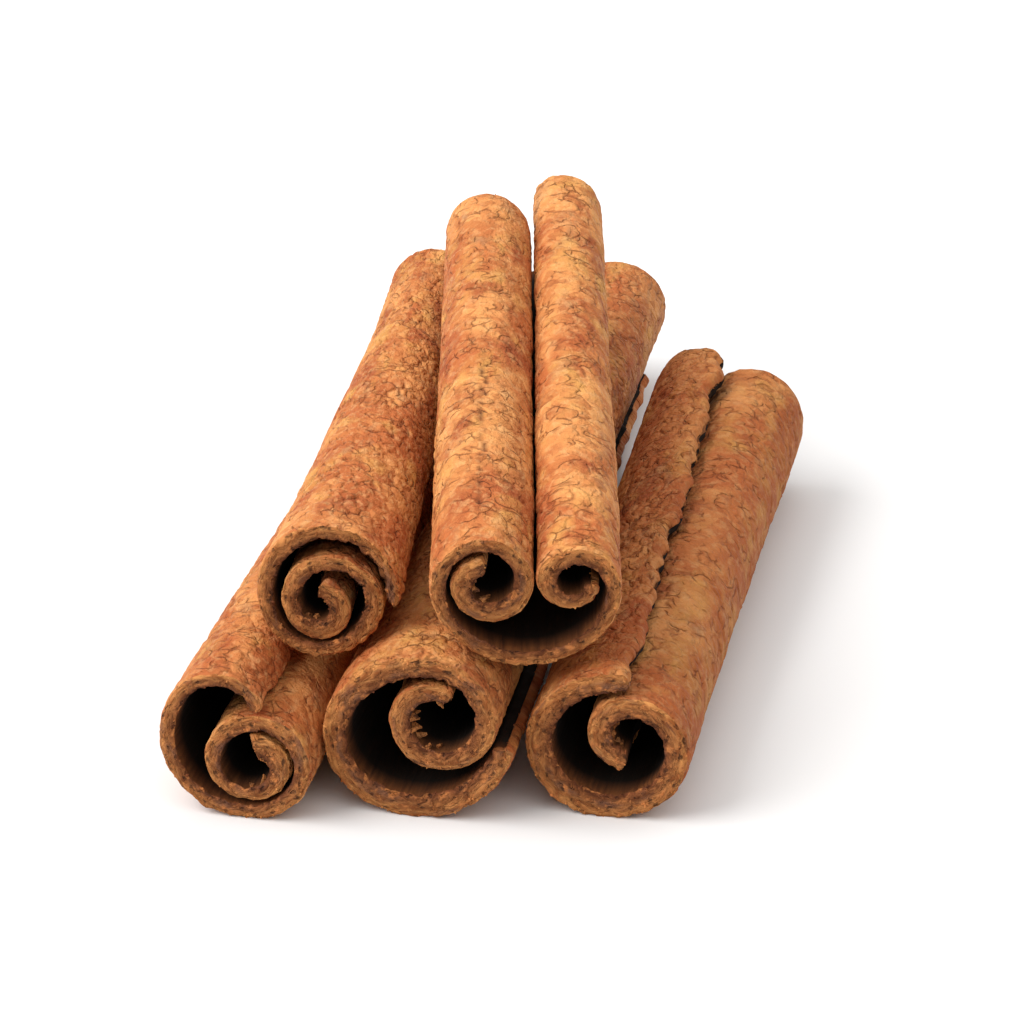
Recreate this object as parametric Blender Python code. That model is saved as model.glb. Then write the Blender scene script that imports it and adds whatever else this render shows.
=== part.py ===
"""A stack of five cinnamon sticks (cassia quills): three side by side, two on top.

A quill is a flat strip of bark that curled up as it dried. Each one is made the same way
here: a flat slab of unit size, whose points are then moved to where they lie in the roll.
The roll is set by the bend radii of the bark at equal steps across the strip.
Lengths are in millimetres until the last step, which turns them into metres.
"""

import math

import bmesh
import bpy
from mathutils import Vector

MM = 0.001

# How finely the roll is divided.
STEPS_ACROSS = 60       # facets across the strip, from one edge to the other
SPANS_ALONG = 5         # spans along the stick, one less than the figures in "girth"
SECTION_STEPS = 400     # short steps in which the bend of the bark is added up

SEAT_DEPTH = 0.15       # depth of the flat that a bottom stick rests on
GROUND = (120.0, 200.0, 10.0)   # block that cuts the flats: width, length, height

# One entry for each stick. Angles are in degrees.
#   strip     width of the bark strip, measured around the roll
#   radii     bend radius of the middle of the bark, at equal steps across the strip
#   walls     thickness of the bark, at equal steps across the strip
#   heading   direction in which the strip leaves its outer edge (90 is straight up)
#   turn      1 if the strip curls anticlockwise seen from the cut front end, else -1
#   trim      how much narrower the strip is at the back end, off its first edge
#   lengths   length of the stick at the strip's first edge and at its last edge
#   girth     size of the roll at equal steps from the front end to the back end
#   place     middle of the roll's underside at the front end
#   yaw       turn to the right of the far end
#   pitch     rise of the far end
QUILLS = {
    "quill_bottom_left": {
        "strip": 58.0, "heading": 94, "turn": 1,
        "radii": (3.0, 3.6, 8.1, 6.6, 6.5, 6.0, 4.3, 3.8, 4.4, 2.9, 3.1, 1.5),
        "walls": (1.4, 1.3, 1.5, 1.5, 1.5, 1.6, 1.3, 2.4),
        "trim": 0.0, "lengths": (78.0, 78.0),
        "girth": (1.0, 0.98, 0.95, 0.92, 0.89, 0.87),
        "place": (-23.85, 0.0, 0.0), "yaw": 12.0, "pitch": 0.0,
    },
    "quill_bottom_middle": {
        "strip": 60.6, "heading": -107, "turn": -1,
        "radii": (11.2, 8.6, 7.8, 5.7, 7.1, 10.5, 4.9, 4.7, 3.6, 3.4, 2.7),
        "walls": (1.9, 2.4, 2.2, 2.2, 1.9, 2.0, 1.6),
        "trim": 4.5, "lengths": (94.0, 94.0),
        "girth": (1.0, 0.98, 0.95, 0.92, 0.89, 0.86),
        "place": (-8.1, 0.0, 0.0), "yaw": 11.8, "pitch": 0.0,
    },
    "quill_bottom_right": {
        "strip": 45.2, "heading": -187, "turn": 1,
        "radii": (7.6, 7.6, 5.7, 5.7, 6.5, 5.7, 4.0, 2.7, 2.7),
        "walls": (1.9, 2.2, 2.6, 2.2, 2.1, 2.3),
        "trim": 2.0, "lengths": (70.5, 65.5),
        "girth": (1.0, 1.0, 1.02, 1.05, 1.09, 1.12),
        "place": (8.1, 0.0, 0.0), "yaw": 12.0, "pitch": 0.0,
    },
    "quill_top_left": {
        "strip": 57.9, "heading": 89, "turn": 1,
        "radii": (14.1, 5.6, 5.0, 6.7, 6.8, 3.8, 6.7, 3.5, 3.8, 3.8, 1.8, 3.6),
        "walls": (1.3, 1.4, 1.5, 1.3, 1.6, 1.4, 1.9, 1.9),
        "trim": 0.0, "lengths": (70.5, 70.5),
        "girth": (0.98, 0.89, 0.81, 0.74, 0.69, 0.69),
        "place": (-15.7, 5.6, 12.8), "yaw": 6.3, "pitch": 0.3,
    },
    "quill_top_double": {
        "strip": 61.7, "heading": -179, "turn": 1,
        "radii": (2.4, 2.2, 2.9, 3.7, 3.3, 4.6, 7.0, 7.7, 7.7, 7.6, 6.9, 3.4, 2.5, 2.1, 1.5),
        "walls": (1.6, 2.1, 1.3, 1.4, 1.5, 1.4, 1.4, 1.8, 1.3),
        "trim": 0.0, "lengths": (64.5, 75.5),
        "girth": (1.0, 1.0, 0.99, 0.98, 0.97, 0.96),
        "place": (1.15, 1.5, 14.3), "yaw": 0.1, "pitch": 4.2,
    },
}

# Colour of the dried bark of each stick (linear RGB).
BARK_COLOURS = {
    "quill_bottom_left": (0.36, 0.17, 0.075),
    "quill_bottom_middle": (0.40, 0.20, 0.09),
    "quill_bottom_right": (0.42, 0.21, 0.085),
    "quill_top_left": (0.40, 0.19, 0.075),
    "quill_top_double": (0.43, 0.20, 0.085),
}


def clear_scene():
    """Remove the objects that the scene opens with."""
    for thing in list(bpy.data.objects):
        bpy.data.objects.remove(thing, do_unlink=True)


def new_collection(name):
    """Make a collection in the scene."""
    collection = bpy.data.collections.new(name)
    bpy.context.scene.collection.children.link(collection)
    return collection


def between(values, share):
    """Value part of the way through a list whose figures stand at equal steps."""
    place = share * (len(values) - 1)
    index = min(int(place), len(values) - 2)
    return values[index] + (values[index + 1] - values[index]) * (place - index)


def roll_section(quill):
    """Middle line of the rolled bark, as lists of x, z and heading at equal steps.

    The heading turns by step / radius, so a list of radii is enough to draw the scroll.
    The line is then shifted until the bark's underside touches z = 0 and the bark is
    centred on x = 0.
    """
    step = quill["strip"] / SECTION_STEPS
    curvatures = [quill["turn"] / radius for radius in quill["radii"]]
    xs, zs, headings = [0.0], [0.0], [math.radians(quill["heading"])]
    for number in range(SECTION_STEPS):
        turned = step * between(curvatures, (number + 0.5) / SECTION_STEPS)
        heading = headings[-1] + 0.5 * turned
        xs.append(xs[-1] + step * math.cos(heading))
        zs.append(zs[-1] + step * math.sin(heading))
        headings.append(headings[-1] + turned)
    skin_xs, skin_zs = [], []
    for number, heading in enumerate(headings):
        half_wall = 0.5 * between(quill["walls"], number / SECTION_STEPS)
        for side in (half_wall, -half_wall):
            skin_xs.append(xs[number] - side * math.sin(heading))
            skin_zs.append(zs[number] + side * math.cos(heading))
    middle = 0.5 * (min(skin_xs) + max(skin_xs))
    lowest = min(skin_zs)
    return [x - middle for x in xs], [z - lowest for z in zs], headings


def flat_strip():
    """Closed slab of unit size: x across the strip, y along the stick, z through it."""
    strip = bmesh.new()
    bmesh.ops.create_grid(strip, x_segments=STEPS_ACROSS, y_segments=SPANS_ALONG, size=0.5)
    bmesh.ops.solidify(strip, geom=strip.faces[:], thickness=1.0)
    lowest = min(vertex.co.z for vertex in strip.verts)
    for vertex in strip.verts:
        vertex.co += Vector((0.5, 0.5, -lowest - 0.5))
    return strip


def roll_up(strip, quill):
    """Move each point of the flat strip to where it lies in the rolled quill."""
    xs, zs, headings = roll_section(quill)
    first, last = quill["lengths"]
    for vertex in strip.verts:
        across, along, depth = vertex.co
        trimmed = along * quill["trim"] / quill["strip"]
        share = trimmed + (1.0 - trimmed) * across
        heading = between(headings, share)
        girth = between(quill["girth"], along)
        offset = depth * between(quill["walls"], share)
        vertex.co = Vector((
            girth * (between(xs, share) - offset * math.sin(heading)),
            along * (first + (last - first) * across),
            girth * (between(zs, share) + offset * math.cos(heading)),
        )) * MM
    bmesh.ops.recalc_face_normals(strip, faces=strip.faces[:])


def bark_material(name):
    """Dull dried bark."""
    material = bpy.data.materials.new("dried_bark_" + name)
    material.use_nodes = True
    shader = material.node_tree.nodes["Principled BSDF"]
    shader.inputs["Base Color"].default_value = (*BARK_COLOURS[name], 1.0)
    shader.inputs["Roughness"].default_value = 0.8
    shader.inputs["Metallic"].default_value = 0.0
    return material


def make_quill(name, quill, collection, parent):
    """Roll one quill and lay it in its place in the stack."""
    strip = flat_strip()
    roll_up(strip, quill)
    mesh = bpy.data.meshes.new(name)
    strip.to_mesh(mesh)
    strip.free()
    mesh.materials.append(bark_material(name))
    stick = bpy.data.objects.new(name, mesh)
    collection.objects.link(stick)
    stick.parent = parent
    stick.location = Vector(quill["place"]) * MM
    stick.rotation_euler = (math.radians(quill["pitch"]), 0.0, math.radians(-quill["yaw"]))
    return stick


def make_ground_cutter(collection, parent):
    """Block under the stack whose top shaves the seats of the bottom sticks."""
    bpy.ops.mesh.primitive_cube_add(size=1.0)
    cutter = bpy.context.active_object
    cutter.name = "ground_cutter"
    for owner in list(cutter.users_collection):
        owner.objects.unlink(cutter)
    collection.objects.link(cutter)
    cutter.parent = parent
    cutter.scale = Vector(GROUND) * MM
    cutter.location = Vector((0.0, 0.25 * GROUND[1], SEAT_DEPTH - 0.5 * GROUND[2])) * MM
    cutter.display_type = "WIRE"
    cutter.hide_render = True
    return cutter


def cut_seat(stick, cutter):
    """Shave the flat that a bottom stick rests on."""
    seat = stick.modifiers.new("Seat", "BOOLEAN")
    seat.operation = "DIFFERENCE"
    seat.solver = "EXACT"
    seat.object = cutter


def centre_stack(stack, sticks):
    """Shift the whole stack so that the origin is below its middle, on the ground."""
    bpy.context.view_layer.update()
    corners = [
        stick.matrix_world @ vertex.co for stick in sticks for vertex in stick.data.vertices
    ]
    for axis in (0, 1):
        places = [corner[axis] for corner in corners]
        stack.location[axis] -= 0.5 * (min(places) + max(places))
    stack.location.z = -SEAT_DEPTH * MM


def main():
    clear_scene()
    pieces = new_collection("cinnamon_stack")
    cutters = new_collection("cutters")
    stack = bpy.data.objects.new("stack", None)
    pieces.objects.link(stack)
    cutter = make_ground_cutter(cutters, stack)
    sticks = [make_quill(name, quill, pieces, stack) for name, quill in QUILLS.items()]
    for stick in sticks:
        if QUILLS[stick.name]["place"][2] == 0.0:
            cut_seat(stick, cutter)
    centre_stack(stack, sticks)
    for stick in sticks:
        print(stick.name, "at", [round(value, 5) for value in stick.matrix_world.translation])


main()
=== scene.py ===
# %% [markdown]
# # A stack of cinnamon sticks
# A cinnamon stick is a strip of cassia bark. It was peeled flat from the branch, and as it
# dried it curled up from its edges into a scroll, which is called a quill. The cells below
# make each quill the way it grew: a flat strip is wrinkled, its edges are torn, and then it
# is rolled up along a guide line. Everything sits around a frame: the plain solids of the
# sticks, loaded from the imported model, which say where each stick lies and how big it is.

# %% Load the frame
import math
import random

import bmesh
import bpy
from mathutils import Euler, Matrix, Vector


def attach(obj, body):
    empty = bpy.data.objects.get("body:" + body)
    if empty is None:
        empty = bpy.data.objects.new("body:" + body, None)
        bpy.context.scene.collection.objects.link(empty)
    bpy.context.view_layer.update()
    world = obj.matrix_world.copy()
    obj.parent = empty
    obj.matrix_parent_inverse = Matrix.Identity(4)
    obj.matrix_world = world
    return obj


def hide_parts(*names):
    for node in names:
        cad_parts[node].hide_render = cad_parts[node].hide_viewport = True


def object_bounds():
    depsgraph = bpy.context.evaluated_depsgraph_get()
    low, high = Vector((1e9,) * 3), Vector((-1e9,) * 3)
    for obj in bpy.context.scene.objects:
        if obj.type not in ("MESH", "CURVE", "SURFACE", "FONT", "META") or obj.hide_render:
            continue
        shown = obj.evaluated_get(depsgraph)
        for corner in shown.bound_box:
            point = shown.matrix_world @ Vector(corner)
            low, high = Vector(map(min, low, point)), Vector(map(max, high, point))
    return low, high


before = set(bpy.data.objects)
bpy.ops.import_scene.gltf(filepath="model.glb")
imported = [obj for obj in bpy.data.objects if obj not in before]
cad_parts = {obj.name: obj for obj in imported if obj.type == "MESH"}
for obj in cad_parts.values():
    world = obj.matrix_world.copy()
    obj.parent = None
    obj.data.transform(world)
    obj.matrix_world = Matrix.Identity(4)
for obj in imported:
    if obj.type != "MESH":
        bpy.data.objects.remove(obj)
frame_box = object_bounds()
scene = bpy.context.scene
MM = 0.001
print(len(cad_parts), "nodes in the frame, and its box in mm is",
      [[round(v / MM, 1) for v in corner] for corner in frame_box])


# %% [markdown]
# ## Helpers
# Colours are written as hex codes, the way a colour picker shows them. Blender works in
# linear light, so one function turns a code into linear numbers. Another one adds a node
# to a tree, sets its options, and fills or links its inputs. It serves geometry and shader
# trees alike, and gives back the socket that the next node plugs into. Two short ones add
# the nodes that are needed most.

# %% Helpers for colours and nodes
def linear(code):
    """Turn an sRGB hex code such as "b07a48" into linear red, green, blue and alpha."""
    parts = [int(code[start:start + 2], 16) / 255 for start in (0, 2, 4)]
    return [c / 12.92 if c <= 0.04045 else ((c + 0.055) / 1.055) ** 2.4 for c in parts] + [1.0]


def add(tree, kind, inputs=None, out=0, **settings):
    """Add a node, set its options, fill or link its inputs, and return an output socket."""
    node = tree.nodes.new(kind)
    for option, value in settings.items():
        setattr(node, option, value)
    for key, value in (inputs or {}).items():
        if isinstance(value, bpy.types.NodeSocket):
            tree.links.new(value, node.inputs[key])
        else:
            node.inputs[key].default_value = value
    return node.outputs[out]


def ramp(tree, value, start, end, low=0.0, high=1.0, smooth=False):
    """Value carried from the range start to end into the range low to high, and held there."""
    return add(tree, "ShaderNodeMapRange", {0: value, 1: start, 2: end, 3: low, 4: high},
               interpolation_type="SMOOTHSTEP" if smooth else "LINEAR")


def times(tree, value, factor):
    """Product of a socket and a number or another socket."""
    return add(tree, "ShaderNodeMath", {0: value, 1: factor}, operation="MULTIPLY")


print("bark brown in linear light", [round(c, 3) for c in linear("b07a48")])


# %% [markdown]
# ## Camera
# The stack is seen from a little above, looking straight along the double quill on top, so
# that all the cut ends face the viewer. A long lens from a third of a metre away keeps the
# sticks nearly parallel, as in a product picture.

# %% Camera
CAMERA_PLACE = (0.28, -303.76, 161.17)      # mm
CAMERA_DOWN = 27.0                          # degrees below the horizon
CAMERA_LENS = 123.05                        # mm, on a sensor 36 mm wide

camera_data = bpy.data.cameras.new("camera")
camera_data.lens = CAMERA_LENS
camera_data.sensor_width = 36.0
camera_data.clip_start = 0.01
camera = bpy.data.objects.new("camera", camera_data)
camera.location = Vector(CAMERA_PLACE) * MM
camera.rotation_euler = (math.radians(90.0 - CAMERA_DOWN), 0.0, 0.0)
scene.collection.objects.link(camera)
scene.camera = camera
print("camera at", [round(v, 4) for v in camera.location])


# %% [markdown]
# ## Floor and light
# The floor is plain white paper. The key light is a wide, low one from the left, which
# brightens the left side of every stick and throws soft shadows to the right. A second wide
# light from above stands for the ceiling of the light tent. The sky is dim, so that little
# light comes from the viewer's side and the hollows of the quills stay dark. Sun lamps are
# used because they shine evenly on the whole floor, however far it reaches.

# %% Floor and light
LIGHTS = {
    # name: (strength, width, (lean to the front, lean to the right)), both in degrees
    # from straight above; a lean below zero is to the back or to the left
    "key_light": (3.1, 50.0, (8.0, -48.0)),
    "top_light": (2.5, 110.0, (2.0, 7.0)),
}
SKY_STRENGTH = 0.20

FLOOR_REACH = 4.0       # metres from the middle to each side

floor_mesh = bpy.data.meshes.new("floor")
floor_corners = [(x * FLOOR_REACH, y * FLOOR_REACH, 0.0)
                 for x, y in ((-1, -1), (1, -1), (1, 1), (-1, 1))]
floor_mesh.from_pydata(floor_corners, [], [(0, 1, 2, 3)])
floor = bpy.data.objects.new("floor", floor_mesh)
scene.collection.objects.link(floor)

paper = bpy.data.materials.new("matt white paper")
paper.use_nodes = True
paper_shader = paper.node_tree.nodes["Principled BSDF"]
paper_shader.inputs["Base Color"].default_value = linear("e4e3e2")
paper_shader.inputs["Roughness"].default_value = 0.9
paper_shader.inputs["Specular IOR Level"].default_value = 0.1
floor_mesh.materials.append(paper)

for name, (strength, width, (forward, sideways)) in LIGHTS.items():
    light_data = bpy.data.lights.new(name, "SUN")
    light_data.energy = strength
    light_data.angle = math.radians(width)
    light = bpy.data.objects.new(name, light_data)
    light.rotation_euler = (math.radians(forward), math.radians(sideways), 0.0)
    scene.collection.objects.link(light)

sky = bpy.data.worlds.new("studio_sky")
sky.use_nodes = True
sky.node_tree.nodes["Background"].inputs["Color"].default_value = linear("ffffff")
sky.node_tree.nodes["Background"].inputs["Strength"].default_value = SKY_STRENGTH
scene.world = sky
scene.view_settings.view_transform = "Standard"
print("lights", list(LIGHTS), "sky", SKY_STRENGTH)


# %% [markdown]
# ## The sticks' measures
# These are the sizes of the real strips, in millimetres: how wide each strip is, how thick
# at equal steps from its outer edge to its inner edge, how tightly it bends there, and how
# long it is. A list of bend radii is how a roll is best described, because each stretch of
# bark dried to its own curve. The far ends are thinner where the branch was thinner.

# %% Measures of the sticks
#   strip     width of the bark strip, measured around the roll
#   radii     bend radius of the middle of the bark, at equal steps across the strip
#   walls     thickness of the bark, at equal steps across the strip
#   heading   direction in which the strip leaves its outer edge (90 is straight up)
#   turn      1 if the strip curls anticlockwise seen from the cut front end, else -1
#   trim      how much narrower the strip is at the back end, off its first edge
#   lengths   length of the stick at the strip's first edge and at its last edge
#   girth     size of the roll at equal steps from the front end to the back end
#   place     middle of the roll's underside at the front end; yaw and pitch in degrees
STICKS = {
    "quill_bottom_left": {
        "strip": 58.0, "heading": 94, "turn": 1,
        "radii": (3.0, 3.6, 8.1, 6.6, 6.5, 6.0, 4.3, 3.8, 4.4, 2.9, 3.1, 1.5),
        "walls": (1.4, 1.3, 1.5, 1.5, 1.5, 1.6, 1.3, 2.4),
        "trim": 0.0, "lengths": (78.0, 78.0),
        "girth": (1.0, 0.98, 0.95, 0.92, 0.89, 0.87),
        "place": (-23.57, -45.88, -0.15), "yaw": 12.0, "pitch": 0.0,
    },
    "quill_bottom_middle": {
        "strip": 60.6, "heading": -107, "turn": -1,
        "radii": (11.2, 8.6, 7.8, 5.7, 7.1, 10.5, 4.9, 4.7, 3.6, 3.4, 2.7),
        "walls": (1.9, 2.4, 2.2, 2.2, 1.9, 2.0, 1.6),
        "trim": 4.5, "lengths": (94.0, 94.0),
        "girth": (1.0, 0.98, 0.95, 0.92, 0.89, 0.86),
        "place": (-7.82, -45.88, -0.15), "yaw": 11.8, "pitch": 0.0,
    },
    "quill_bottom_right": {
        "strip": 45.2, "heading": -187, "turn": 1,
        "radii": (7.6, 7.6, 5.7, 5.7, 6.5, 5.7, 4.0, 2.7, 2.7),
        "walls": (1.9, 2.2, 2.6, 2.2, 2.1, 2.3),
        "trim": 2.0, "lengths": (70.5, 65.5),
        "girth": (1.0, 1.0, 1.02, 1.05, 1.09, 1.12),
        "place": (8.38, -45.88, -0.15), "yaw": 12.0, "pitch": 0.0,
    },
    "quill_top_left": {
        "strip": 57.9, "heading": 89, "turn": 1,
        "radii": (14.1, 5.6, 5.0, 6.7, 6.8, 3.8, 6.7, 3.5, 3.8, 3.8, 1.8, 3.6),
        "walls": (1.3, 1.4, 1.5, 1.3, 1.6, 1.4, 1.9, 1.9),
        "trim": 0.0, "lengths": (70.5, 70.5),
        "girth": (0.98, 0.89, 0.81, 0.74, 0.69, 0.69),
        "place": (-15.42, -40.28, 12.65), "yaw": 6.3, "pitch": 0.3,
    },
    "quill_top_double": {
        "strip": 61.7, "heading": -179, "turn": 1,
        "radii": (2.4, 2.2, 2.9, 3.7, 3.3, 4.6, 7.0, 7.7, 7.7, 7.6, 6.9, 3.4, 2.5, 2.1, 1.5),
        "walls": (1.6, 2.1, 1.3, 1.4, 1.5, 1.4, 1.4, 1.8, 1.3),
        "trim": 0.0, "lengths": (64.5, 75.5),
        "girth": (1.0, 1.0, 0.99, 0.98, 0.97, 0.96),
        "place": (1.43, -44.38, 14.15), "yaw": 0.1, "pitch": 4.2,
    },
}
for name, stick in STICKS.items():
    print(name, "strip", stick["strip"], "by", max(stick["lengths"]), "mm")


# %% [markdown]
# ## The guide line
# Seen from its cut end, a quill is one curved line as thick as the bark. The line is drawn
# like a path walked in short steps: at each step the heading turns by step length over bend
# radius. This line becomes a small mesh of joined points, which the node tree below takes
# as its input and rolls the strip along. Each point carries the bark's thickness there.

# %% Draw the guide line of a roll
GUIDE_STEPS = 400


def between(values, share):
    """Value part of the way through a list whose figures stand at equal steps."""
    place = share * (len(values) - 1)
    index = min(int(place), len(values) - 2)
    return values[index] + (values[index + 1] - values[index]) * (place - index)


def roll_section(stick):
    """Middle line of the rolled bark: points (x, z), headings and walls at equal steps."""
    step = stick["strip"] / GUIDE_STEPS
    curvatures = [stick["turn"] / radius for radius in stick["radii"]]
    points, headings = [(0.0, 0.0)], [math.radians(stick["heading"])]
    for number in range(GUIDE_STEPS):
        turned = step * between(curvatures, (number + 0.5) / GUIDE_STEPS)
        heading = headings[-1] + 0.5 * turned
        x, z = points[-1]
        points.append((x + step * math.cos(heading), z + step * math.sin(heading)))
        headings.append(headings[-1] + turned)
    walls = [between(stick["walls"], i / GUIDE_STEPS) for i in range(GUIDE_STEPS + 1)]
    skin = [(x - side * wall * math.sin(heading), z + side * wall * math.cos(heading))
            for (x, z), heading, wall in zip(points, headings, walls) for side in (-0.5, 0.5)]
    middle = 0.5 * (min(p[0] for p in skin) + max(p[0] for p in skin))
    lowest = min(p[1] for p in skin)
    return [(x - middle, z - lowest) for x, z in points], headings, walls


def guide_line(name, stick):
    """Object that holds the middle line of a rolled strip, in millimetres, at y = 0."""
    points, _, walls = roll_section(stick)
    mesh = bpy.data.meshes.new(name + "_guide")
    mesh.from_pydata([(x, 0.0, z) for x, z in points],
                     [(i, i + 1) for i in range(GUIDE_STEPS)], [])
    mesh.attributes.new("wall", "FLOAT", "POINT").data.foreach_set("value", walls)
    guide = bpy.data.objects.new(name + "_guide", mesh)
    scene.collection.objects.link(guide)
    return guide


print("a guide line has", GUIDE_STEPS + 1, "points")


# %% [markdown]
# ## Wrinkles of dried bark
# As bark dries it shrinks and its skin crumples. It breaks up into flakes one or two
# millimetres wide with sunken seams between them, crossed by short crooked creases, over
# low swellings some six millimetres wide. Both the shape and the colour need these in the
# same places, so one function draws the pattern and is used in the geometry tree and in the
# material. Its input is a place on the strip in millimetres: across, along and through the
# bark. The flakes are the cells of a Voronoi pattern, bent by a noise so that no seam is
# straight. A crease is where a noise crosses its middle value, which gives thin crooked
# lines, and a second noise breaks the lines into short strokes.

# %% The pattern of flakes and creases
def patches(tree, place, stretch, low=0.35, high=0.65, shift=0.0, detail=1.0, bend=0.0):
    """Noise of so many waves per mm in each direction: 0 below low, and 1 above high."""
    moved = add(tree, "ShaderNodeVectorMath", {0: place, 1: stretch, 2: (shift,) * 3},
                operation="MULTIPLY_ADD")
    noise = add(tree, "ShaderNodeTexNoise", {
        "Vector": moved, "Scale": 1.0, "Detail": detail, "Roughness": 0.55,
        "Distortion": bend})
    return ramp(tree, noise, low, high)


def crooked_lines(tree, place, stretch, width, shift, gate):
    """Thin crooked lines where a noise crosses its middle, broken up by a second noise."""
    field = patches(tree, place, stretch, low=0.0, high=1.0, shift=shift, bend=0.5)
    apart = add(tree, "ShaderNodeMath", {0: field, 1: 0.5}, operation="SUBTRACT")
    apart = add(tree, "ShaderNodeMath", {0: apart}, operation="ABSOLUTE")
    line = ramp(tree, apart, 0.0, width, 1.0, 0.0)
    kept = patches(tree, place, (0.42, 0.42, 0.42), low=gate, high=gate + 0.1, shift=shift + 5)
    return times(tree, line, kept)


def flakes(tree, place):
    """Distance to the edge of the nearest flake, and a tone from 0 to 1 for each flake."""
    bend = add(tree, "ShaderNodeTexNoise", {"Vector": place, "Scale": 0.7, "Detail": 1.0},
               out="Color")
    bent = add(tree, "ShaderNodeVectorMath", {0: bend, 1: (1.6, 1.1, 0.0), 2: place},
               operation="MULTIPLY_ADD")
    squeezed = add(tree, "ShaderNodeVectorMath", {0: bent, 1: (0.85, 0.62, 0.5)},
                   operation="MULTIPLY")
    edge = add(tree, "ShaderNodeTexVoronoi", {"Vector": squeezed, "Scale": 1.0},
               out="Distance", feature="DISTANCE_TO_EDGE")
    tone = add(tree, "ShaderNodeTexVoronoi", {"Vector": squeezed, "Scale": 1.0},
               out="Color", feature="F1")
    return edge, add(tree, "ShaderNodeSeparateXYZ", {0: tone})


def wrinkle_pattern(tree, place):
    """Sockets from 0 to 1: swelling, seam between flakes, crease, and tone of each flake."""
    swell = patches(tree, place, (0.16, 0.11, 0.2), low=0.3, high=0.7)
    edge, tone = flakes(tree, place)
    flaked = patches(tree, place, (0.2, 0.2, 0.2), low=0.36, high=0.62, shift=13.0)
    seam = times(tree, ramp(tree, edge, 0.0, 0.3, 1.0, 0.0, smooth=True), flaked)
    cracked = patches(tree, place, (0.5, 0.6, 0.5), low=0.52, high=0.64, shift=19.0)
    crack = times(tree, ramp(tree, edge, 0.01, 0.07, 1.0, 0.0), cracked)
    stroke = crooked_lines(tree, place, (0.40, 0.46, 0.4), 0.035, 17.0, 0.5)
    crease = add(tree, "ShaderNodeMath", {0: stroke, 1: crack}, operation="MAXIMUM")
    return swell, seam, crease, tone


print("flakes about 1.5 mm wide, creases about 2 mm long, swellings about 6 mm wide")


# %% [markdown]
# ## The tree that rolls a strip of bark
# The tree starts from a flat box divided into columns across the strip, rows along it and a
# few layers through it. It works out where each point of the box lies on the strip, bunches
# the rows near the cut ends, where the saw left the most detail, tears the edges a little,
# and then moves each point to its place beside the guide line. One tree serves all the
# sticks: its inputs are a strip's sizes, how ragged it is, and a seed.

# %% Inputs of the rolling tree
roll_tree = bpy.data.node_groups.new("roll_bark", "GeometryNodeTree")
GIRTHS = 6              # figures in each stick's "girth"
NUMBERS = ["Strip width", "Trim", "First length", "Last length", "Turn", "Relief", "Lip tear",
           "Lip scallops", "Heart tear", "Cut wear", "Inner bites", "Lip round", "Heart round",
           "Outer detail", "Fissure at", "Fissure from", "Fissure to", "Crumbs", "Shade",
           "Seed"]
NUMBERS += [f"Girth {number}" for number in range(GIRTHS)]
ROLL_INPUTS = {"Guide": "NodeSocketGeometry", "Columns": "NodeSocketInt",
               "Rows": "NodeSocketInt", "Layers": "NodeSocketInt"}
ROLL_INPUTS.update({number: "NodeSocketFloat" for number in NUMBERS})
ROLL_INPUTS.update({"Place": "NodeSocketVector", "Rotation": "NodeSocketVector"})
ROLL_INPUTS.update({kind: "NodeSocketMaterial" for kind in ("Bark", "Inner bark", "Cut end")})
for socket_name, socket_type in ROLL_INPUTS.items():
    roll_tree.interface.new_socket(socket_name, in_out="INPUT", socket_type=socket_type)
roll_tree.interface.new_socket("Stick", in_out="OUTPUT", socket_type="NodeSocketGeometry")
size = roll_tree.nodes.new("NodeGroupInput").outputs
print("rolling tree has", len(ROLL_INPUTS), "inputs")

# %% [markdown]
# ### The flat strip
# The box is one unit wide, long and thick, with its middle at zero. Its columns and rows
# start evenly spaced. A curve for each then crowds them towards the edges, and on most
# sticks also towards the outer turn, because that is where the detail shows.


# %% The flat strip, and where each point lies on it
def calc(operation, first, second=0.0, third=0.0):
    """One step of arithmetic in the rolling tree."""
    return add(roll_tree, "ShaderNodeMath", {0: first, 1: second, 2: third},
               operation=operation)


def spacing(bends, value):
    """Curve node that re-spaces columns or rows, with straight stretches between bends."""
    spaced = add(roll_tree, "ShaderNodeFloatCurve", {"Value": value})
    curve = spaced.node.mapping.curves[0]
    for x, y in bends:
        curve.points.new(x, y)
    for point in curve.points:
        point.handle_type = "VECTOR"
    spaced.node.mapping.update()
    return spaced


flat = add(roll_tree, "GeometryNodeMeshCube", {
    "Vertices X": size["Columns"], "Vertices Y": size["Rows"], "Vertices Z": size["Layers"]})
unit = add(roll_tree, "GeometryNodeInputPosition")
unit_xyz = add(roll_tree, "ShaderNodeSeparateXYZ", {0: unit}).node.outputs
column = calc("ADD", unit_xyz[0], 0.5)
row = calc("ADD", unit_xyz[1], 0.5)
depth = unit_xyz[2]
along = spacing(((0.05, 0.012), (0.96, 0.988)), row)
even = spacing(((0.035, 0.012), (0.965, 0.988)), column)
outer_first = spacing(((0.035, 0.012), (0.78, 0.66), (0.965, 0.988)), column)
across = add(roll_tree, "ShaderNodeMix", {
    "Factor": size["Outer detail"], "A": even, "B": outer_first}, data_type="FLOAT")
print("rows and columns spaced")

# %% Distances on the strip in millimetres
SEED_STEP = 37.0        # mm between the stretches of bark pattern that the sticks use

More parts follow.
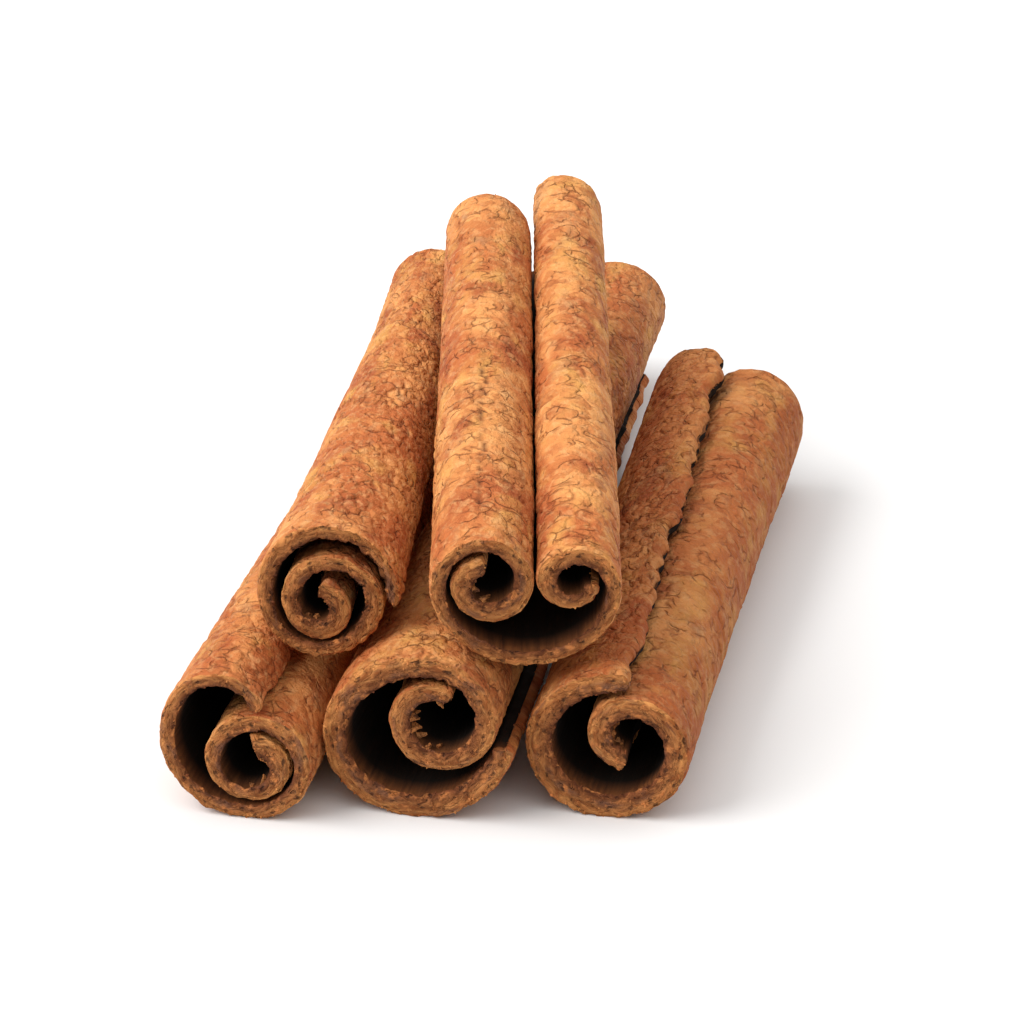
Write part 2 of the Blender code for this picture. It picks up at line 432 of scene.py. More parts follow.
trimmed = calc("MULTIPLY", along, size["Trim"])
width_here = calc("SUBTRACT", size["Strip width"], trimmed)
from_lip = calc("MULTIPLY", across, width_here)
from_heart = calc("SUBTRACT", width_here, from_lip)
length_here = ramp(roll_tree, across, 0.0, 1.0, size["First length"], size["Last length"])
from_front = calc("MULTIPLY", along, length_here)
from_back = calc("SUBTRACT", length_here, from_front)
across_mm = calc("ADD", trimmed, from_lip)
guide_curve = add(roll_tree, "GeometryNodeMeshToCurve", {0: size["Guide"]})
guide_wall = add(roll_tree, "GeometryNodeInputNamedAttribute", {"Name": "wall"},
                 data_type="FLOAT")
wall = add(roll_tree, "GeometryNodeSampleCurve", {
    "Curves": guide_curve, "Value": guide_wall,
    "Factor": calc("DIVIDE", across_mm, size["Strip width"])}, mode="FACTOR")
through_mm = calc("MULTIPLY_ADD", depth, wall, calc("MULTIPLY", size["Seed"], SEED_STEP))
strip_place = add(roll_tree, "ShaderNodeCombineXYZ", {
    0: across_mm, 1: from_front, 2: through_mm})
print("strip places are in mm: across, along, through")

# %% [markdown]
# ### Torn edges and worn cuts
# The long edges of the strip were torn from the branch, so they run in little bites. The
# ends were sawn, which leaves them rough, with crumbs missing from their rims. Each edge is
# moved inwards by a noise that fades out a few millimetres from the edge, so the strip
# never grows. The far corner beside the lip, the outer long edge, is rounded off both
# ways by handling.

# %% Tear the long edges and wear the cut ends
CORNER_SHORTER = 1.8    # mm that the stick is shorter at its far corner beside the lip
CORNER_NARROWER = 2.6   # mm that the strip is narrower there


def fade(distance, reach):
    """1 at an edge, falling smoothly to 0 at the given distance from it."""
    return ramp(roll_tree, distance, 0.0, reach, 1.0, 0.0, smooth=True)


near = {"lip": fade(from_lip, 3.0), "heart": fade(from_heart, 2.2),
        "front": fade(from_front, 1.3), "back": fade(from_back, 1.3)}
bite = patches(roll_tree, strip_place, (0.02, 0.22, 0.05), shift=9.0, detail=2.0)
scallop = patches(roll_tree, strip_place, (0.1, 0.42, 0.2), low=0.42, high=0.62, shift=2.0,
                  detail=1.5, bend=0.6)
chip = patches(roll_tree, strip_place, (1.3, 0.1, 1.9), low=0.3, high=0.75, shift=4.0,
               detail=2.5)
dent = patches(roll_tree, strip_place, (0.35, 0.1, 0.6), low=0.35, high=0.75, shift=6.0)
rim = calc("MULTIPLY", calc("ABSOLUTE", depth), 2.0)
rim = ramp(roll_tree, rim, 0.55, 1.0, 0.5, 1.0)
cut_pull = calc("MULTIPLY", calc("MULTIPLY_ADD", dent, 0.4, chip), size["Cut wear"])
cut_pull = calc("MULTIPLY", cut_pull, rim)
corner = calc("MULTIPLY", fade(from_lip, 4.5), fade(from_back, 40.0))
corner = calc("MULTIPLY", corner, CORNER_SHORTER)
lip_corner = calc("MULTIPLY", fade(from_back, 5.0), fade(from_lip, 8.0))
lip_pull = calc("MULTIPLY_ADD", scallop, size["Lip scallops"],
                calc("MULTIPLY", bite, size["Lip tear"]))
torn_across = calc("MULTIPLY_ADD", lip_pull, near["lip"], across_mm)
torn_across = calc("MULTIPLY_ADD", lip_corner, CORNER_NARROWER, torn_across)
heart_pull = calc("MULTIPLY", calc("MULTIPLY_ADD", scallop, 0.5, bite), size["Heart tear"])
torn_across = calc("SUBTRACT", torn_across, calc("MULTIPLY", heart_pull, near["heart"]))
worn_along = calc("MULTIPLY_ADD", cut_pull, near["front"], from_front)
worn_along = calc("SUBTRACT", worn_along, calc("MULTIPLY", cut_pull, near["back"]))
worn_along = calc("SUBTRACT", worn_along, corner)
print("edges torn")

# %% [markdown]
# ### Relief of the bark
# Creases, seams and swellings shape the outside of the strip only, because the inside of
# cassia bark is smooth. The relief is level with the plain strip on average: its hollows go
# a little below it and its crests a little above. Two of the sticks have a long fissure,
# where the bark split along its grain as it dried.

# %% Depth of the relief at each point
SWELL_DEPTH = 0.15      # mm
SEAM_DEPTH = 0.16
CREASE_DEPTH = 0.10
FISSURE_DEPTH = 0.16
CREST_HEIGHT = 0.13     # mm that the crests stand above the plain strip

swell, seam, crease, _ = wrinkle_pattern(roll_tree, strip_place)
sunk = calc("MULTIPLY_ADD", crease, CREASE_DEPTH, calc("MULTIPLY", swell, SWELL_DEPTH))
sunk = calc("MULTIPLY_ADD", seam, SEAM_DEPTH, sunk)
wander = patches(roll_tree, strip_place, (0.02, 0.5, 0.0), low=0.0, high=1.0, detail=3.0)
off_line = calc("MULTIPLY_ADD", wander, 2.4, calc("SUBTRACT", across_mm, size["Fissure at"]))
fissure = ramp(roll_tree, calc("ABSOLUTE", off_line), 0.0, 0.2, 1.0, 0.0)
past_start = calc("SUBTRACT", from_front, size["Fissure from"])
before_end = calc("SUBTRACT", size["Fissure to"], from_front)
opened = calc("MULTIPLY", ramp(roll_tree, past_start, 0.0, 2.0),
              ramp(roll_tree, before_end, 0.0, 3.0))
fissure = calc("MULTIPLY", fissure, opened)
sunk = calc("MULTIPLY_ADD", fissure, FISSURE_DEPTH, sunk)
sunk = calc("MULTIPLY", calc("SUBTRACT", sunk, CREST_HEIGHT), size["Relief"])
outside = ramp(roll_tree, depth, 0.0, 0.5)
sunk = calc("MULTIPLY", sunk, outside)
print("relief in mm: swellings", SWELL_DEPTH, "seams", SEAM_DEPTH, "creases", CREASE_DEPTH)

# %% [markdown]
# At the cut ends the rim is worn round: more at the far end, which has been handled, than
# at the near end, which is freshly sawn. Crumbs have also broken out of the inner edge of
# the near end, which leaves it toothed in places.

# %% Round the rims, and break teeth out of the inner one
TEETH_END = 1.6         # mm into the stick


def worn_rim(distance, reach, drop):
    """How far a rim is rounded off: drop at the cut end, and nothing past the reach."""
    left = ramp(roll_tree, distance, 0.0, reach, 1.0, 0.0)
    return calc("MULTIPLY", calc("MULTIPLY", left, left), drop)


rounded = calc("ADD", worn_rim(from_back, 1.3, 0.5), worn_rim(from_front, 0.4, 0.12))
sunk = calc("ADD", sunk, calc("MULTIPLY", rounded, outside))
inside = ramp(roll_tree, depth, -0.5, 0.0, 1.0, 0.0)
tooth = patches(roll_tree, strip_place, (0.85, 0.6, 0.3), low=0.46, high=0.66, shift=8.0,
                detail=2.5, bend=0.8)
toothed = patches(roll_tree, strip_place, (0.12, 0.1, 0.0), low=0.35, high=0.6, shift=3.0)
tooth = calc("MULTIPLY", tooth, toothed)
tooth_reach = ramp(roll_tree, from_front, 0.6, TEETH_END, 1.0, 0.0)
tooth = calc("MULTIPLY", calc("MULTIPLY", tooth, tooth_reach), size["Inner bites"])
tooth = calc("MULTIPLY", tooth, inside)
print("teeth end", TEETH_END, "mm into the stick")


# %% [markdown]
# The long edges are blunt: the bark thins to nothing along a quarter circle, whose radius
# is an input, so a torn lip can be rounder than a snapped one.

# %% Thickness of the bark at each point
def blunt(distance, radius):
    """Factor for the thickness that rounds off an edge: 0 at the edge, 1 past the radius."""
    left = calc("SUBTRACT", 1.0, calc("MINIMUM", calc("DIVIDE", distance, radius), 1.0))
    return calc("SQRT", calc("SUBTRACT", 1.0, calc("MULTIPLY", left, left)))


thickness = calc("MULTIPLY", wall, blunt(from_lip, size["Lip round"]))
thickness = calc("MULTIPLY", thickness, blunt(from_heart, size["Heart round"]))
offset = calc("MULTIPLY", depth, thickness)
offset = calc("SUBTRACT", offset, sunk)
offset = calc("ADD", offset, tooth)
print("edges blunted")

# %% [markdown]
# ### Rolling up
# The guide line is read at each point's distance across the strip. Its place and direction
# there say where the middle of the bark is and which way is out. The bark is moved out from
# the line by its depth, the whole roll is scaled by the stick's girth at that row, and the
# distance along the stick becomes Y.

# %% Roll the strip along the guide
share = calc("DIVIDE", torn_across, size["Strip width"])
on_guide = add(roll_tree, "GeometryNodeSampleCurve", {
    "Curves": guide_curve, "Factor": share}, mode="FACTOR").node
outwards = add(roll_tree, "ShaderNodeVectorMath", {
    0: (0.0, 1.0, 0.0), 1: on_guide.outputs["Tangent"]}, operation="CROSS_PRODUCT")
outwards = add(roll_tree, "ShaderNodeVectorMath", {0: outwards, "Scale": size["Turn"]},
               operation="SCALE")
moved_out = add(roll_tree, "ShaderNodeVectorMath", {0: outwards, "Scale": offset},
                operation="SCALE")
section = add(roll_tree, "ShaderNodeVectorMath", {
    0: on_guide.outputs["Position"], 1: moved_out}, operation="ADD")
girth = size["Girth 0"]
for number in range(GIRTHS - 1):
    passed = ramp(roll_tree, along, number / (GIRTHS - 1), (number + 1) / (GIRTHS - 1))
    change = calc("SUBTRACT", size[f"Girth {number + 1}"], size[f"Girth {number}"])
    girth = calc("MULTIPLY_ADD", passed, change, girth)
section = add(roll_tree, "ShaderNodeVectorMath", {0: section, "Scale": girth},
              operation="SCALE")
lengthwise = add(roll_tree, "ShaderNodeCombineXYZ", {1: worn_along})
rolled_place = add(roll_tree, "ShaderNodeVectorMath", {0: section, 1: lengthwise},
                   operation="ADD")
print("rolled")

# %% [markdown]
# ### Marks for the materials
# Before the strip is moved, each point keeps its place on the strip as an attribute, so that
# the colours can follow the bark round the roll. The faces on the inner side are marked, and
# so are those on the cut ends and the torn edges, while the strip is still a box and that is
# easy to tell. What has no mark is the outside.

# %% Store the marks, then move the points into the roll
NEAR_SIDE = 0.4999      # the middle of any face on a side of the unit box is past this

face_in = add(roll_tree, "FunctionNodeCompare", {0: unit_xyz[2], 1: -NEAR_SIDE},
              data_type="FLOAT", operation="LESS_THAN")
furthest = calc("MAXIMUM", calc("ABSOLUTE", unit_xyz[0]), calc("ABSOLUTE", unit_xyz[1]))
face_end = add(roll_tree, "FunctionNodeCompare", {0: furthest, 1: NEAR_SIDE},
               data_type="FLOAT", operation="GREATER_THAN")
from_cut = calc("MINIMUM", from_front, from_back)
marks = add(roll_tree, "ShaderNodeCombineXYZ", {0: depth, 1: fissure, 2: from_cut})
stick_mesh = flat
# Two of the marks serve painted shade: the distance from the nearer cut, which darkens the
# inside of the hollows, and each stick's figure of painted shade.
for mark, kind, domain, value in (
        ("bark_mm", "FLOAT_VECTOR", "POINT", strip_place),
        ("bark_marks", "FLOAT_VECTOR", "POINT", marks),
        ("bark_painted_shade", "FLOAT", "POINT", size["Shade"]),
        ("is_inside", "BOOLEAN", "FACE", face_in),
        ("is_cut", "BOOLEAN", "FACE", face_end)):
    stick_mesh = add(roll_tree, "GeometryNodeStoreNamedAttribute", {
        "Geometry": stick_mesh, "Name": mark, "Value": value}, data_type=kind, domain=domain)
stick_mesh = add(roll_tree, "GeometryNodeSetPosition", {
    "Geometry": stick_mesh, "Position": rolled_place})
mirrored = add(roll_tree, "FunctionNodeCompare", {0: size["Turn"], 1: 0.0},
               data_type="FLOAT", operation="GREATER_THAN")
stick_mesh = add(roll_tree, "GeometryNodeFlipFaces", {
    "Mesh": stick_mesh, "Selection": mirrored})
stick_mesh = add(roll_tree, "GeometryNodeSetShadeSmooth", {"Geometry": stick_mesh})
print("points moved and faces marked")

# %% [markdown]
# ### Crumbs on the cut ends
# Sawing leaves crumbs of bark stuck to the cut. They are small balls, squashed and turned at
# random, and scattered over the faces that are marked as cut.

# %% Scatter crumbs over the cut ends
SMALLEST_CRUMB = (0.05, 0.05, 0.05)     # half its size each way, in mm
LARGEST_CRUMB = (0.26, 0.14, 0.12)
ANY_TURN = (6.28, 6.28, 6.28)           # a whole turn about each axis, in radians

on_cut = add(roll_tree, "GeometryNodeInputNamedAttribute", {"Name": "is_cut"},
             data_type="BOOLEAN")
spots = add(roll_tree, "GeometryNodeDistributePointsOnFaces", {
    "Mesh": stick_mesh, "Selection": on_cut, "Density": size["Crumbs"], "Seed": 5})
turned = add(roll_tree, "FunctionNodeRandomValue", {
    0: (0.0, 0.0, 0.0), 1: ANY_TURN, "Seed": 6}, data_type="FLOAT_VECTOR")
sized = add(roll_tree, "FunctionNodeRandomValue", {
    0: SMALLEST_CRUMB, 1: LARGEST_CRUMB, "Seed": 7}, data_type="FLOAT_VECTOR")
crumb = add(roll_tree, "GeometryNodeMeshIcoSphere", {"Radius": 1.0, "Subdivisions": 1})
crumbs = add(roll_tree, "GeometryNodeInstanceOnPoints", {
    "Points": spots, "Instance": crumb, "Rotation": turned, "Scale": sized})
crumbs = add(roll_tree, "GeometryNodeRealizeInstances", {"Geometry": crumbs})
stick_mesh = add(roll_tree, "GeometryNodeJoinGeometry", {"Geometry": stick_mesh})
roll_tree.links.new(crumbs, stick_mesh.node.inputs["Geometry"])
print("crumbs up to", 2 * LARGEST_CRUMB[0], "mm long")

# %% [markdown]
# ### Lay the stick in its place
# The roll is turned and moved to where it lies in the stack. The frame's box is then held
# as a limit: no crest or crumb passes it, and the undersides are pressed flat on the floor
# just as the frame's are. Up to here the tree has worked in millimetres, so the stick is
# scaled to metres. Then the faces take their materials by their marks.

# %% Place, limit, scale and colour the stick
stick_mesh = add(roll_tree, "GeometryNodeTransform", {
    "Geometry": stick_mesh, "Translation": size["Place"], "Rotation": size["Rotation"]})
position = add(roll_tree, "GeometryNodeInputPosition")
low_corner, high_corner = [[value / MM for value in corner] for corner in frame_box]
position = add(roll_tree, "ShaderNodeVectorMath", {0: position, 1: low_corner},
               operation="MAXIMUM")
position = add(roll_tree, "ShaderNodeVectorMath", {0: position, 1: high_corner},
               operation="MINIMUM")
stick_mesh = add(roll_tree, "GeometryNodeSetPosition", {
    "Geometry": stick_mesh, "Position": position})
stick_mesh = add(roll_tree, "GeometryNodeTransform", {
    "Geometry": stick_mesh, "Scale": (MM, MM, MM)})
stick_mesh = add(roll_tree, "GeometryNodeRealizeInstances", {"Geometry": stick_mesh})
stick_mesh = add(roll_tree, "GeometryNodeSetMaterial", {
    "Geometry": stick_mesh, "Material": size["Bark"]})
for mark, material_input in (("is_inside", "Inner bark"), ("is_cut", "Cut end")):
    marked = add(roll_tree, "GeometryNodeInputNamedAttribute", {"Name": mark},
                 data_type="BOOLEAN")
    stick_mesh = add(roll_tree, "GeometryNodeSetMaterial", {
        "Geometry": stick_mesh, "Selection": marked, "Material": size[material_input]})
result = roll_tree.nodes.new("NodeGroupOutput")
roll_tree.links.new(stick_mesh, result.inputs["Stick"])
print("tree has", len(roll_tree.nodes), "nodes")


# %% [markdown]
# ## Materials
# Dried cassia bark is dull and mottled: tan, orange and red-brown patches a few millimetres
# wide, with darker lines in the creases, which are partly painted shade. The colours follow
# the bark because they read each point's place on the strip.

# %% Start a bark material
def bark_material(name, rough):
    """New material with a Principled shader, and the place on the strip as a socket."""
    material = bpy.data.materials.new(name)
    material.use_nodes = True
    tree = material.node_tree
    shader = tree.nodes["Principled BSDF"]
    shader.inputs["Roughness"].default_value = rough
    shader.inputs["IOR"].default_value = 1.45
    shader.inputs["Specular IOR Level"].default_value = 0.25
    place = add(tree, "ShaderNodeAttribute", out="Vector", attribute_name="bark_mm")
    marks = add(tree, "ShaderNodeAttribute", out="Vector", attribute_name="bark_marks")
    marks = add(tree, "ShaderNodeSeparateXYZ", {0: marks}).node.outputs
    return material, tree, shader, place, marks


def mix_colours(tree, factor, first, second):
    """Blend of two colours, each a hex code or a socket."""
    first = linear(first) if isinstance(first, str) else first
    second = linear(second) if isinstance(second, str) else second
    return add(tree, "ShaderNodeMix", {"Factor": factor, 6: first, 7: second}, out=2,
               data_type="RGBA")


def finish_material(tree, shader, colour, height, strength, depth_mm):
    """Plug in the colour, and a bump of the given depth for what is finer than the mesh."""
    tree.links.new(colour, shader.inputs["Base Color"])
    bump = add(tree, "ShaderNodeBump", {
        "Height": height, "Strength": strength, "Distance": depth_mm * MM})
    tree.links.new(bump, shader.inputs["Normal"])


print("bark is dull: roughness 0.72 and up")

# %% [markdown]
# ### Outside of the bark
# The outside is painted in layers, most as the bark gained them: a tan ground whose tone
# differs from flake to flake, patches where the outer bark is worn to redder or greyer
# layers, pale flecks, and dark creases, partly their own colour and partly painted shade.
# Over it all, painted shade makes the bark of the lower sticks darker and redder. The bump
# carries the same seams and creases as the geometry, and a grain that is finer than the mesh.

# %% Dried cassia bark, the outside
BARK_GROUND = ("dd9758", "cb8045")
FLAKE_SHADE = "93522c"
PALE_FLECK = "e3ae74"
# partly the creases' own darker colour, partly painted shade in them
CREASE_COLOUR_AND_SHADE = "843c1a"
FISSURE_DARK = "55290f"
# painted shade: the darker, redder brown that the lower sticks are tinted towards
STICK_PAINTED_SHADE = "7c3a17"
BARK_PATCHES = (
    # colour, waves per mm across and along, from which noise value, how strong, shift
    ("b35f30", 0.16, 0.08, 0.42, 0.9, 11.0),
    ("d59b52", 0.30, 0.15, 0.52, 0.75, 23.0),
    ("9a4723", 0.36, 0.18, 0.54, 0.8, 37.0),
    ("9c7452", 0.40, 0.20, 0.60, 0.6, 41.0),
)

bark, tree, shader, place, marks = bark_material("dried cassia bark", 0.72)
_, seam, crease, tone = wrinkle_pattern(tree, place)
colour = mix_colours(tree, tone, *BARK_GROUND)
for code, waves_across, waves_along, start, strength, shift in BARK_PATCHES:
    spread = patches(tree, place, (waves_across, waves_along, 0.3), low=start,
                     high=start + 0.16, shift=shift, detail=4.0, bend=0.4)
    colour = mix_colours(tree, times(tree, spread, strength), colour, code)
flake_shade = ramp(tree, tone, 0.5, 1.0, 0.0, 0.25)
colour = mix_colours(tree, flake_shade, colour, FLAKE_SHADE)
flecks = patches(tree, place, (1.5, 1.0, 0.8), low=0.5, high=0.68, shift=5.0, detail=2.0,
                 bend=0.5)
colour = mix_colours(tree, times(tree, flecks, 0.35), colour, PALE_FLECK)
# Creases are made darker: partly the bark's own darker colour there, partly painted shade in
# the creases.
colour = mix_colours(tree, times(tree, crease, 0.48), colour, CREASE_COLOUR_AND_SHADE)
colour = mix_colours(tree, marks[1], colour, FISSURE_DARK)
# Painted shade: the bark of the lower sticks, which lie more in shade, is made darker and
# redder.
shade = add(tree, "ShaderNodeAttribute", out="Fac", attribute_name="bark_painted_shade")
colour = mix_colours(tree, shade, colour, STICK_PAINTED_SHADE)
fine_grain = patches(tree, place, (2.2, 1.7, 2.0), low=0.2, high=0.8, shift=2.0, detail=3.0,
                     bend=0.4)
height = add(tree, "ShaderNodeMath", {0: crease, 1: -0.8, 2: fine_grain},
             operation="MULTIPLY_ADD")
height = add(tree, "ShaderNodeMath", {0: seam, 1: -0.7, 2: height}, operation="MULTIPLY_ADD")
finish_material(tree, shader, colour, height, 1.0, 0.24)
print(bark.name, len(tree.nodes), "nodes")

# %% [markdown]
# ### Inside of the bark
# The inside is smooth and has fine fibres along the stick. It is brown next to the cut.
# Deeper in, painted shade makes it almost black, so that the hollows stay dark under these wide
# soft lights.

# %% Inner side of the bark
NEAR_CUT = ("74431f", "4a260f")
# painted shade: the near-black colours deep inside the hollows
DEEP_IN_PAINTED_SHADE = ("1b1007", "0e0703")

inner, tree, shader, place, marks = bark_material("inner side of cassia bark", 0.85)
fibres = patches(tree, place, (1.8, 0.12, 1.0), low=0.3, high=0.7, detail=3.0)
colour = mix_colours(tree, fibres, *NEAR_CUT)
painted_hollow_shade = mix_colours(tree, fibres, *DEEP_IN_PAINTED_SHADE)
# Painted shade: from the cut to 2.5 mm in, the inner side turns from brown to almost black.
colour = mix_colours(tree, ramp(tree, marks[2], 0.0, 2.5), colour, painted_hollow_shade)
finish_material(tree, shader, colour, fibres, 0.5, 0.1)
print(inner.name, len(tree.nodes), "nodes")

# %% [markdown]
# ### Sawn ends
# The cut shows torn fibres, dark towards the inner side and light towards the outer side,
# with bruised grey-brown spots, light crusts and small dark pits.

# %% Sawn end of the bark
LIGHT_FIBRES = ("864a29", "d18d4f")     # towards the inner side, towards the outer side
DARK_FIBRES = ("45200f", "965427")
BRUISE = "75503f"
CRUST = "bd7540"
PIT = "33180b"

cut, tree, shader, place, marks = bark_material("sawn end of cassia bark", 0.85)
torn_fibres = patches(tree, place, (0.7, 0.7, 1.6), low=0.34, high=0.66, detail=4.0, bend=1.0)
outer_side = ramp(tree, marks[0], -0.5, 0.4)
light_fibres = mix_colours(tree, outer_side, *LIGHT_FIBRES)
dark_fibres = mix_colours(tree, outer_side, *DARK_FIBRES)
colour = mix_colours(tree, torn_fibres, light_fibres, dark_fibres)
bruise = patches(tree, place, (0.25, 0.25, 0.7), low=0.54, high=0.68, shift=7.0, detail=3.0)
colour = mix_colours(tree, times(tree, bruise, 0.6), colour, BRUISE)
crust = patches(tree, place, (0.8, 0.8, 1.2), low=0.55, high=0.66, shift=9.0, detail=2.0)
colour = mix_colours(tree, crust, colour, CRUST)
pits = patches(tree, place, (1.1, 1.1, 1.8), low=0.58, high=0.70, shift=13.0, detail=2.0)
pits = times(tree, pits, 0.8)
colour = mix_colours(tree, pits, colour, PIT)
height = add(tree, "ShaderNodeMath", {0: pits, 1: -1.2, 2: torn_fibres},
             operation="MULTIPLY_ADD")
finish_material(tree, shader, colour, height, 1.0, 0.3)
print(cut.name, len(tree.nodes), "nodes")


# %% [markdown]
# ## Make the sticks
# Each stick is the same tree with its own numbers. The finer grid goes to the sticks that
# show most. Once the tree has run, its result is kept as a plain mesh.

# %% Roll each stick
LAYERS = 9              # layers of points through the bark
CUT_WEAR = 0.5          # mm that the larger chips take off the cut ends
CRUMBS = 2.2            # crumbs on each square millimetre of cut

#   grid     columns across the strip and rows along it
#   outer    how much the columns crowd towards the outer turn, from 0 to 1
#   lip      how far the outer long edge is bitten, in mm: wide bites, small scallops
#   heart    the same for the inner long edge, with both kinds in one figure
#   round    radius of the outer and the inner long edge, in mm
#   relief   how deep the relief is, times the depths above
#   bites    depth of the teeth on the inner rim of the cut end, in mm
#   fissure  where the long split runs: place across the strip, start and end along it, in
#            mm; a start behind the end means that there is none
#     shade    painted shade, from 0 to 1: how much darker and redder this stick's bark is made
#   seed     which stretch of the bark pattern it takes
WEAR = {
    "quill_bottom_left": {
        "grid": (180, 200), "outer": 1.0, "lip": (0.5, 0.2), "heart": 0.6,
        "round": (0.5, 0.2), "relief": 0.9, "bites": 0.25,
        "fissure": (0.0, 9.0, 0.0), "shade": 0.08, "seed": 1,
    },
    "quill_bottom_middle": {
        "grid": (185, 225), "outer": 1.0, "lip": (0.7, 0.3), "heart": 0.6,
        "round": (0.6, 0.5), "relief": 0.9, "bites": 0.3,
        "fissure": (0.0, 9.0, 0.0), "shade": 0.16, "seed": 2,
    },
    "quill_bottom_right": {
        "grid": (185, 225), "outer": 1.0, "lip": (0.9, 0.25), "heart": 0.4,
        "round": (0.8, 0.3), "relief": 1.0, "bites": 0.35,
        "fissure": (30.0, 36.0, 58.0), "shade": 0.3, "seed": 3,
    },
    "quill_top_left": {
        "grid": (190, 220), "outer": 1.0, "lip": (0.4, 0.2), "heart": 0.4,
        "round": (0.7, 0.4), "relief": 1.3, "bites": 0.5,
        "fissure": (0.0, 9.0, 0.0), "shade": 0.0, "seed": 4,
    },
    "quill_top_double": {
        "grid": (195, 215), "outer": 0.0, "lip": (0.2, 0.2), "heart": 0.4,
        "round": (0.2, 0.4), "relief": 1.0, "bites": 0.2,
        "fissure": (19.0, 4.0, 34.0), "shade": 0.0, "seed": 5,
    },
}


def run_tree(thing, tree, values):
    """Put a geometry tree on an object, set its inputs, and return the mesh it makes."""
    modifier = thing.modifiers.new("tree", "NODES")
    modifier.node_group = tree
    for item in tree.interface.items_tree:
        if item.name in values:
            modifier[item.identifier] = values[item.name]
    evaluated = thing.evaluated_get(bpy.context.evaluated_depsgraph_get())
    mesh = bpy.data.meshes.new_from_object(evaluated)
    thing.modifiers.remove(modifier)
    return mesh


def keep_piece(mesh, name, node):
    """Make the finished mesh a piece of the model, in place of a node of the frame."""
    piece = bpy.data.objects.new(name, mesh)
    scene.collection.objects.link(piece)
    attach(piece, "root")
    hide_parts(node)
    return piece


def rotation_of(stick):
    """Turn of a stick about X, Y and Z, in radians."""
    return (math.radians(stick["pitch"]), 0.0, -math.radians(stick["yaw"]))


def roll_stick(name, stick, wear):
    """Run the rolling tree for one stick and return its plain mesh."""
    values = {
        "Columns": wear["grid"][0], "Rows": wear["grid"][1], "Layers": LAYERS,
        "Strip width": stick["strip"], "Trim": stick["trim"],
        "First length": stick["lengths"][0], "Last length": stick["lengths"][1],
        "Turn": float(stick["turn"]), "Outer detail": wear["outer"],
        "Relief": wear["relief"], "Lip tear": wear["lip"][0],
        "Lip scallops": wear["lip"][1], "Heart tear": wear["heart"],
        "Lip round": wear["round"][0], "Heart round": wear["round"][1],
        "Cut wear": CUT_WEAR, "Inner bites": wear["bites"], "Crumbs": CRUMBS,
        "Fissure at": wear["fissure"][0], "Fissure from": wear["fissure"][1],
        "Fissure to": wear["fissure"][2],
        "Shade": wear["shade"], "Seed": float(wear["seed"]),
        "Place": stick["place"], "Rotation": rotation_of(stick),
        "Bark": bark, "Inner bark": inner, "Cut end": cut,
    }
    values.update({f"Girth {i}": girth for i, girth in enumerate(stick["girth"])})
    guide = guide_line(name, stick)
    mesh = run_tree(guide, roll_tree, values)
    bpy.data.objects.remove(guide, do_unlink=True)
    return mesh


print("rolling tree ready for", len(WEAR), "sticks")

# %% [markdown]
# ## Splinters
# Where the bark was torn or snapped, splinters and chips hang on inside the innermost turn.
# Each one is a short tapered shard, rooted in the inner skin of the bark near the cut end
# and pointing into the hollow. They are grown by hand-written steps, because each has to
# know where its own roll bends.

# %% Grow splinters inside the rolls
SPLINTERS = {
    # name: (first and last place across the strip, from 0 to 1, how many, longest in mm)
    "quill_bottom_left": (0.84, 0.99, 6, 1.5),
    "quill_bottom_middle": (0.80, 0.99, 9, 1.9),
    "quill_bottom_right": (0.86, 0.99, 6, 1.1),
    "quill_top_left": (0.86, 0.99, 5, 0.9),
    "quill_top_double": (0.02, 0.12, 7, 1.1),
}
SHARD_RINGS = 5
SHARD_SIDES = 6
SHARD_MARKS = (0.1, 0.0, 1.0)   # as in bark_marks: depth, fissure, mm from the cut
ROOT_DEPTH = 0.15       # mm that a splinter is rooted in the bark


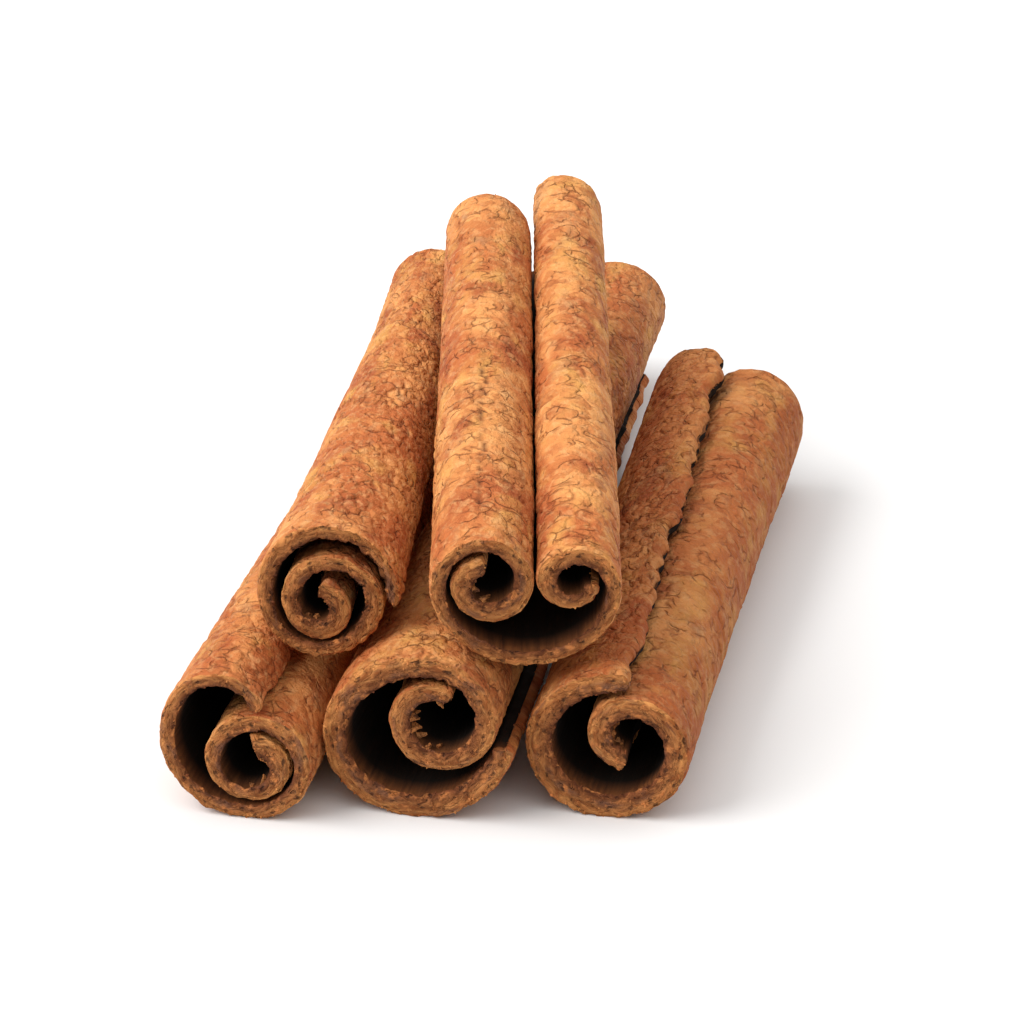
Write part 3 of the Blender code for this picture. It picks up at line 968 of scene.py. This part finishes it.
def add_shard(shape, layers, root, way, length, thickness, chance):
    """Add one tapered shard to a bmesh, from its root along its way, and return its faces."""
    side = way.orthogonal().normalized()
    up = way.cross(side).normalized()
    bend = 0.35 * length * chance.uniform(-1.0, 1.0)
    rings = []
    for number in range(SHARD_RINGS):
        share = number / (SHARD_RINGS - 1)
        centre = root + way * length * share + side * bend * share * share
        radius = 0.5 * thickness * (1.0 - 0.8 * share)
        ring = []
        for corner in range(SHARD_SIDES):
            angle = math.tau * corner / SHARD_SIDES
            reach = radius * chance.uniform(0.5, 1.4)
            spot = centre + (side * math.cos(angle) + up * 0.6 * math.sin(angle)) * reach
            vertex = shape.verts.new(spot * MM)
            vertex[layers["bark_mm"]] = spot
            vertex[layers["bark_marks"]] = SHARD_MARKS
            ring.append(vertex)
        rings.append(ring)
    faces = [shape.faces.new(rings[0][::-1]), shape.faces.new(rings[-1])]
    for lower, upper in zip(rings, rings[1:]):
        for corner in range(SHARD_SIDES):
            after = (corner + 1) % SHARD_SIDES
            faces.append(shape.faces.new(
                (lower[corner], lower[after], upper[after], upper[corner])))
    return faces


def add_splinters(mesh, name, stick, cut_index):
    """Add the splinters of one stick to its mesh."""
    first, last, count, longest = SPLINTERS[name]
    points, headings, walls = roll_section(stick)
    turn = Euler(rotation_of(stick)).to_matrix()
    chance = random.Random(len(name) + count)
    shape = bmesh.new()
    shape.from_mesh(mesh)
    layers = {mark: shape.verts.layers.float_vector[mark] for mark in ("bark_mm", "bark_marks")}
    for _ in range(count):
        index = int(GUIDE_STEPS * chance.uniform(first, last))
        (x, z), heading, wall = points[index], headings[index], walls[index]
        inwards = Vector((-math.sin(heading), 0.0, math.cos(heading))) * stick["turn"]
        onwards = Vector((math.cos(heading), 0.0, math.sin(heading)))
        root = Vector((x, chance.uniform(0.5, 1.3), z)) + inwards * (0.5 * wall - ROOT_DEPTH)
        way = inwards + onwards * chance.uniform(-0.8, 0.8)
        way += Vector((0.0, chance.uniform(-0.2, 0.5), 0.0))
        length = longest * chance.uniform(0.25, 0.6)
        faces = add_shard(
            shape, layers, turn @ (root * stick["girth"][0]) + Vector(stick["place"]),
            (turn @ way).normalized(), length, chance.uniform(0.7, 1.3), chance)
        for face in faces:
            face.material_index = cut_index
    shape.to_mesh(mesh)
    shape.free()


for name, stick in STICKS.items():
    bark_mesh = roll_stick(name, stick, WEAR[name])
    add_splinters(bark_mesh, name, stick, bark_mesh.materials.find(cut.name))
    piece = keep_piece(bark_mesh, name + "_bark", name)
    corners = [[pick(v.co[axis] for v in piece.data.vertices) / MM for axis in range(3)]
               for pick in (min, max)]
    triangles = sum(len(face.vertices) - 2 for face in piece.data.polygons)
    print(piece.name, triangles, "triangles, box in mm",
          [[round(v, 1) for v in corner] for corner in corners])
